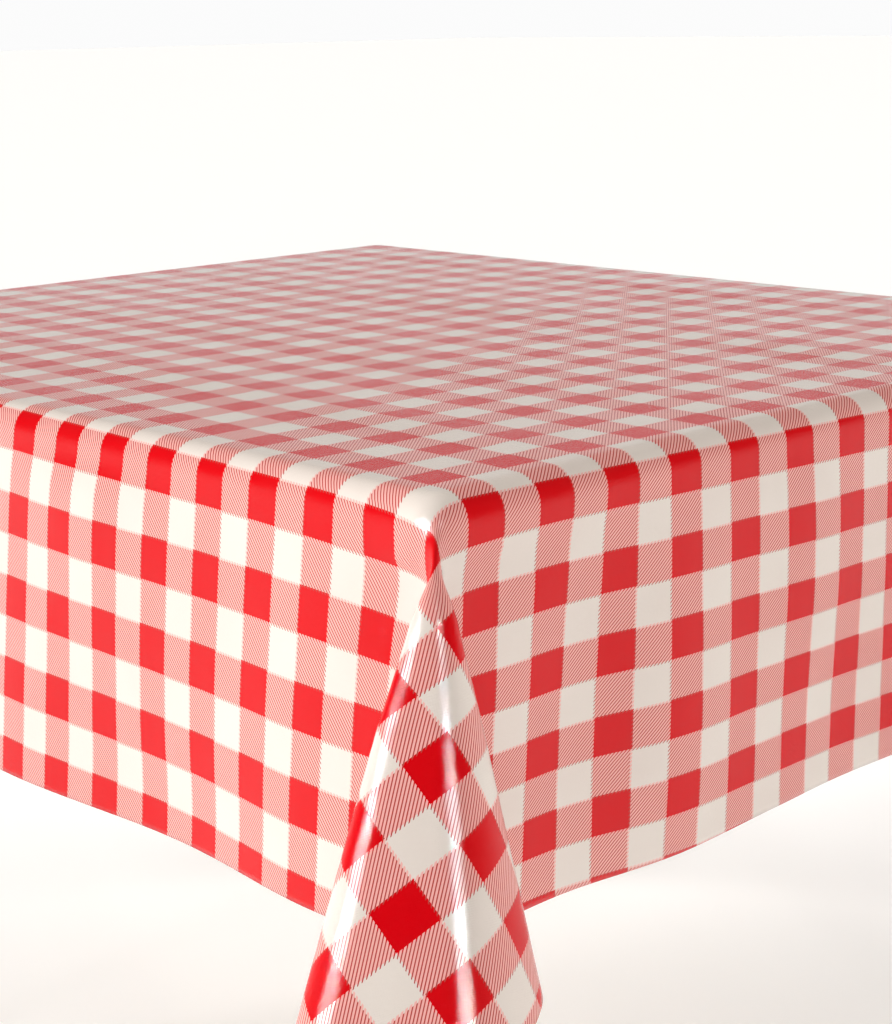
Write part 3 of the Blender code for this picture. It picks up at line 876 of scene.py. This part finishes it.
    def _relaxed(self) -> tuple[np.ndarray, np.ndarray, np.ndarray]:
        """Lay the cloth out on an even grid and soften it, most of all round the table's corners.

        Returns:
            The grid's places across, its places along, and the points.
        """
        a = np.linspace(-self.width / 2, self.width / 2, round(self.width / self.fine_step) + 1)
        b = np.linspace(-self.length / 2, self.length / 2, round(self.length / self.fine_step) + 1)
        grid_a, grid_b = np.meshgrid(a, b, indexing="ij")
        points = self.surface(grid_a, grid_b)
        past_a, past_b = np.abs(grid_a) - self.half_x, np.abs(grid_b) - self.half_y
        reach = np.hypot(np.maximum(past_a, -self.corner_zone), np.maximum(past_b, -self.corner_zone))
        in_corner = (past_a > -self.corner_zone) & (past_b > -self.corner_zone)
        soft = np.where(in_corner, smoothstep((0.055 - reach) / 0.035), 0.0)[..., None]
        plain, softer = self._blurred(points, self.blur), self._blurred(points, self.corner_blur)
        return a, b, plain * (1 - soft) + softer * soft

    def _clear_of_top(self, points: np.ndarray) -> np.ndarray:
        """Push the cloth out of the table's top, which it would otherwise cut at the corners.

        Args:
            points: The cloth's points.

        Returns:
            The points, none nearer to the top than the cloth lies elsewhere.
        """
        radius = self.edge_radius
        core = np.array((self.half_x - radius, self.half_y - radius, 0.0))
        beyond = np.abs(points) - core
        beyond[..., 2] = points[..., 2] - (self.top_z - radius)
        outside = np.maximum(beyond, 0.0)
        distance = np.linalg.norm(outside, axis=-1, keepdims=True)
        near = (distance < radius) & (distance > 1e-6) & (beyond[..., 2:] > -0.02)
        push = np.where(near, outside * (radius / np.maximum(distance, 1e-6) - 1), 0.0)
        push[..., :2] *= np.sign(points[..., :2])
        return points + push

    def build(self, finishes: Finishes) -> bpy.types.Object:
        """Build the cloth.

        Args:
            finishes: The materials.

        Returns:
            The cloth.
        """
        even_a, even_b, points = self._relaxed()
        points = self._clear_of_top(points)
        lines_a = self._lines(self.width / 2, self.half_x)
        lines_b = self._lines(self.length / 2, self.half_y)
        picked = np.stack([self._resampled(points[..., axis], even_a, even_b, lines_a, lines_b)
                           for axis in range(3)], axis=-1)
        bm = bmesh.new()
        count_a, count_b = len(lines_a) - 1, len(lines_b) - 1
        bmesh.ops.create_grid(bm, x_segments=count_a, y_segments=count_b, size=0.5)
        checks = bm.loops.layers.uv.new("checks")
        for vert in bm.verts:
            i, j = round((vert.co.x + 0.5) * count_a), round((vert.co.y + 0.5) * count_b)
            vert.co = picked[i, j]
            vert.index = i * len(lines_b) + j
        turn_cos, turn_sin = math.cos(self.print_turn), math.sin(self.print_turn)
        for face in bm.faces:
            face.smooth = True
            for loop in face.loops:
                i, j = divmod(loop.vert.index, len(lines_b))
                across = lines_a[i] * turn_cos + lines_b[j] * turn_sin + self.half_x + self.print_shift[0]
                along = lines_b[j] * turn_cos - lines_a[i] * turn_sin + self.half_y + self.print_shift[1]
                loop[checks].uv = (across / self.check_across, along / self.check_along)
        mesh = bpy.data.meshes.new("gingham_cloth")
        bm.to_mesh(mesh)
        bm.free()
        for look in (finishes.gingham, finishes.fleece):
            mesh.materials.append(look)
        cloth = put("gingham_cloth", mesh)
        wall = cloth.modifiers.new("backing", "SOLIDIFY")
        wall.thickness = self.thickness
        wall.offset = -1.0
        wall.material_offset = 1
        wall.material_offset_rim = 1
        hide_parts("tablecloth")
        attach(cloth, "cloth")
        LOG.info("cloth: %d by %d checks", round(self.width / self.check_across),
                 round(self.length / self.check_along))
        return cloth

    @staticmethod
    def _resampled(values: np.ndarray, even_a: np.ndarray, even_b: np.ndarray, lines_a: np.ndarray,
                   lines_b: np.ndarray) -> np.ndarray:
        """Read values of the even grid at the lines of the uneven one.

        Args:
            values: One coordinate on the even grid.
            even_a: The even grid's places across.
            even_b: Its places along.
            lines_a: The uneven grid's places across.
            lines_b: Its places along.

        Returns:
            The coordinate on the uneven grid.
        """
        half_way = np.stack([np.interp(lines_a, even_a, column) for column in values.T], axis=1)
        return np.stack([np.interp(lines_b, even_b, row) for row in half_way], axis=0)


# ---------------- the table


@dataclass
class Joinery:
    """Turns the model's plain wooden and metal pieces into finished ones."""

    finishes: Finishes
    seed: int = 7
    made: int = 0
    merged_within: float = 1e-6
    flat_angle: float = math.radians(1.0)
    sharp_angle: float = math.radians(40)
    shaded_sharp: float = math.radians(32)
    bevel_steps: int = 2
    plank_shift: float = 3.0

    def finish_piece(self, node: str, look: Material, slot: str, bevel: float) -> bpy.types.Object:
        """Make a finished piece from a node: merged, with softened edges, and with its own run of grain.

        Args:
            node: The node that the piece replaces.
            look: Its material.
            slot: Not used.
            bevel: Width of the softened edges.

        Returns:
            The piece.
        """
        bm = bmesh.new()
        bm.from_mesh(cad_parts[node].data)
        bmesh.ops.remove_doubles(bm, verts=bm.verts, dist=self.merged_within)
        bmesh.ops.dissolve_limit(bm, angle_limit=self.flat_angle, verts=bm.verts, edges=bm.edges)
        sharp = [edge for edge in bm.edges if edge.is_manifold and edge.calc_face_angle() > self.sharp_angle
                 and edge.calc_length() > 4 * bevel]
        if bevel and sharp:
            bmesh.ops.bevel(bm, geom=sharp, offset=bevel, segments=self.bevel_steps, affect="EDGES",
                            profile=0.5, material=-1, clamp_overlap=True)
        return self._add(node, bm, look)

    def _add(self, node: str, bm: bmesh.types.BMesh, look: Material) -> bpy.types.Object:
        """Add a piece that replaces a node of the table.

        Args:
            node: The node.
            bm: The piece's mesh, in place.
            look: Its material.

        Returns:
            The piece.
        """
        mesh = bpy.data.meshes.new(f"{node}_finished")
        bm.to_mesh(mesh)
        bm.free()
        mesh.materials.append(look)
        mesh.shade_smooth()
        mesh.set_sharp_from_angle(angle=self.shaded_sharp)
        self.made += 1
        drawn = np.random.default_rng(self.seed + self.made).uniform(-self.plank_shift, self.plank_shift, 3)
        shift = drawn.astype(np.float32)
        plank = mesh.attributes.new("plank", "FLOAT_VECTOR", "POINT")
        plank.data.foreach_set("vector", np.tile(shift, len(mesh.vertices)))
        piece = put(f"{node}_finished", mesh)
        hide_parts(node)
        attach(piece, "table")
        return piece


@dataclass
class WoodenTable:
    """The top, the aprons, the legs and the fittings under the cloth."""

    joinery: Joinery
    edge_soft: float = 0.0012

    def build(self) -> None:
        """Finish every piece of the table."""
        looks, soft = self.joinery.finishes, self.edge_soft
        plan = (
            ("top_board", looks.oak[Grain.ALONG_Y], "oak", soft),
            ("end_board", looks.oak[Grain.ALONG_X], "oak", soft),
            ("apron_left", looks.oak[Grain.ALONG_Y], "oak", soft),
            ("apron_right", looks.oak[Grain.ALONG_Y], "oak", soft),
            ("apron_front", looks.oak[Grain.ALONG_X], "oak", soft),
            ("apron_back", looks.oak[Grain.ALONG_X], "oak", soft),
            ("cross_rail", looks.oak[Grain.ALONG_X], "oak", 0.0),
            ("leg", looks.oak[Grain.ALONG_Z], "oak", 0.0008),
            ("corner_block", looks.beech[Grain.ALONG_X], "beech", soft),
            ("button_screw", looks.steel, "steel", 0.0),
            ("button", looks.beech[Grain.ALONG_Y], "beech", 0.0007),
            ("glide", looks.nylon, "glide", 0.0),
            ("hanger_bolt", looks.steel, "steel", 0.0),
            ("washer", looks.steel, "steel", 0.0003),
            ("nut", looks.steel, "steel", 0.0005),
        )
        done: set[str] = set()
        for start, look, slot, bevel in plan:
            names = [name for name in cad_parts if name.startswith(start) and name not in done]
            for name in names:
                self.joinery.finish_piece(name, look, slot, bevel)
                done.add(name)
            LOG.info("%s: %d pieces", start, len(names))


# ---------------- the stage


@dataclass(frozen=True)
class Lamp:
    """One soft light."""

    name: str
    place: Point
    aim: Point
    size: tuple[float, float]
    power: float
    colour: Colour = (1.0, 1.0, 1.0)
    shine_only: bool = False

    def build(self) -> None:
        """Hang the light and aim it.

        One that is for shine only shows in reflections and lights nothing else.
        """
        light = bpy.data.lights.new(self.name, "AREA")
        light.shape = "RECTANGLE"
        light.size, light.size_y = self.size
        light.energy = self.power
        light.color = self.colour
        lamp = put(self.name, light)
        lamp.location = self.place
        lamp.visible_diffuse = not self.shine_only
        lamp.rotation_euler = (Vector(self.aim) - Vector(self.place)).to_track_quat("-Z", "Y").to_euler()


@dataclass(frozen=True)
class Skylight:
    """A wide, even light from far away. Its azimuth, elevation and spread are in degrees."""

    name: str
    azimuth: float
    elevation: float
    strength: float
    spread: float
    colour: Colour = (1.0, 1.0, 1.0)

    def build(self) -> None:
        """Hang the light so that it shines from its azimuth and elevation, and shows in no reflection."""
        light = bpy.data.lights.new(self.name, "SUN")
        light.energy = self.strength
        light.angle = math.radians(self.spread)
        light.color = self.colour
        lamp = put(self.name, light)
        lamp.visible_glossy = False
        turn, height = math.radians(self.azimuth), math.radians(self.elevation)
        level = math.cos(height)
        came_from = Vector((level * math.cos(turn), level * math.sin(turn), math.sin(height)))
        lamp.rotation_euler = (-came_from).to_track_quat("-Z", "Y").to_euler()


@dataclass
class Studio:
    """Pale floor, soft lights and the camera."""

    drape: Drape
    eye_from_corner: Point = (-0.7490, -0.7864, 0.2595)
    heading: float = math.radians(46.05)
    looking_down: float = math.radians(13.72)
    roll: float = math.radians(-0.96)
    lens: float = 71.86
    floor_size: float = 120.0
    floor_glow: float = 0.27
    strip_aim: Point = (-0.45, -0.5, 0.45)
    strip_size: tuple[float, float] = (0.06, 1.6)
    strip_power: float = 300.0
    warm: Colour = (1.0, 0.96, 0.91)
    white: Colour = (0.97, 0.97, 0.97)
    room_dim: Colour = (0.10, 0.095, 0.09)
    room_dark: Colour = (0.05, 0.045, 0.045)

    def build(self) -> None:
        """Set up the stage."""
        self._floor()
        self._world()
        for light in (
            Skylight("left_light", 141.0, 24.0, 3.5, 30.0, (1.0, 0.98, 0.95)),
            Skylight("right_light", 309.0, 24.0, 1.4, 30.0, self.warm),
            Skylight("ceiling", 225.0, 80.0, 0.6, 60.0, self.warm),
        ):
            light.build()
        for name, place in (("left_strip", (-3.8, 0.2, 1.5)), ("front_strip", (-1.6, -3.6, 1.3))):
            Lamp(name, place, self.strip_aim, self.strip_size, self.strip_power, shine_only=True).build()
        self._camera()

    def _floor(self) -> None:
        """Lay the floor, which glows faintly so that it fades into the background."""
        bm = bmesh.new()
        bmesh.ops.create_grid(bm, x_segments=1, y_segments=1, size=self.floor_size / 2)
        mesh = bpy.data.meshes.new("studio_floor")
        bm.to_mesh(mesh)
        bm.free()
        made, graph, shader = new_material("studio_floor")
        place = graph.node("ShaderNodeTexCoord").outputs["Object"]
        mottled = graph.mix(graph.noise(place, 1.5), (0.86, 0.86, 0.86), (0.88, 0.88, 0.88))
        graph.wire(mottled, shader.inputs["Base Color"])
        shader.inputs["Roughness"].default_value = 0.9
        shader.inputs["Emission Color"].default_value = (1.0, 1.0, 1.0, 1.0)
        shader.inputs["Emission Strength"].default_value = self.floor_glow
        mesh.materials.append(made)
        put("studio_floor", mesh)

    def _world(self) -> None:
        """Light the room: bright along the horizon, most of all ahead, dim above, darkest behind the camera.

        Heights are sines of the angle above the level, and directions are cosines of the angle off the view.
        The background itself is seen as plain white all round.
        """
        world = bpy.data.worlds.new("studio")
        world.use_nodes = True
        graph = Graph(world.node_tree)
        back = world.node_tree.nodes["Background"]
        split = graph.node("ShaderNodeSeparateXYZ")
        graph.wire(graph.node("ShaderNodeTexCoord").outputs["Generated"], split.inputs[0])
        height = split.outputs[2]
        ahead = graph.math("MULTIPLY", graph.math("ADD", split.outputs[0], split.outputs[1]), math.sqrt(0.5))
        low = graph.span(height, 0.04, 0.17, 1.0, 0.0)
        horizon = graph.span(height, 0.01, 0.03, 1.0, 0.0)
        window = graph.math("MULTIPLY", graph.span(ahead, 0.3, 0.8, 0.0, 1.0), low)
        bright = graph.math("MAXIMUM", horizon, window)
        near_floor = graph.span(height, 0.35, 0.60, 1.0, 0.0)
        dark = graph.math("MULTIPLY", graph.span(ahead, -0.9, -0.6, 1.0, 0.0), near_floor)
        room = graph.mix(dark, self.room_dim, self.room_dark)
        lit = graph.mix(bright, room, self.white)
        seen = graph.node("ShaderNodeLightPath").outputs["Is Camera Ray"]
        graph.wire(graph.mix(seen, lit, self.white), back.inputs["Color"])
        bpy.context.scene.world = world

    def _camera(self) -> None:
        """Stand the camera off the near corner, a little above the top."""
        corner = Vector((-self.drape.half_x, -self.drape.half_y, self.drape.top_z))
        flat, fall = math.cos(self.looking_down), math.sin(self.looking_down)
        ahead = Vector((flat * math.cos(self.heading), flat * math.sin(self.heading), -fall))
        level = Vector((math.sin(self.heading), -math.cos(self.heading), 0.0))
        upright = level.cross(ahead)
        right = level * math.cos(self.roll) + upright * math.sin(self.roll)
        top = upright * math.cos(self.roll) - level * math.sin(self.roll)
        lens = bpy.data.cameras.new("camera")
        lens.lens = self.lens
        lens.clip_end = 200.0
        camera = put("camera", lens)
        camera.location = corner + Vector(self.eye_from_corner)
        camera.rotation_euler = Matrix((right, top, -ahead)).transposed().to_euler()
        bpy.context.scene.camera = camera


def main() -> None:
    """Build the object and its stage."""
    logging.basicConfig(level=logging.INFO, format="%(name)s: %(message)s")
    bpy.context.scene.view_settings.view_transform = "Standard"
    finishes = Finishes()
    drape = Drape()
    drape.build(finishes)
    WoodenTable(Joinery(finishes)).build()
    Studio(drape).build()


if __name__ == "__main__":
    main()
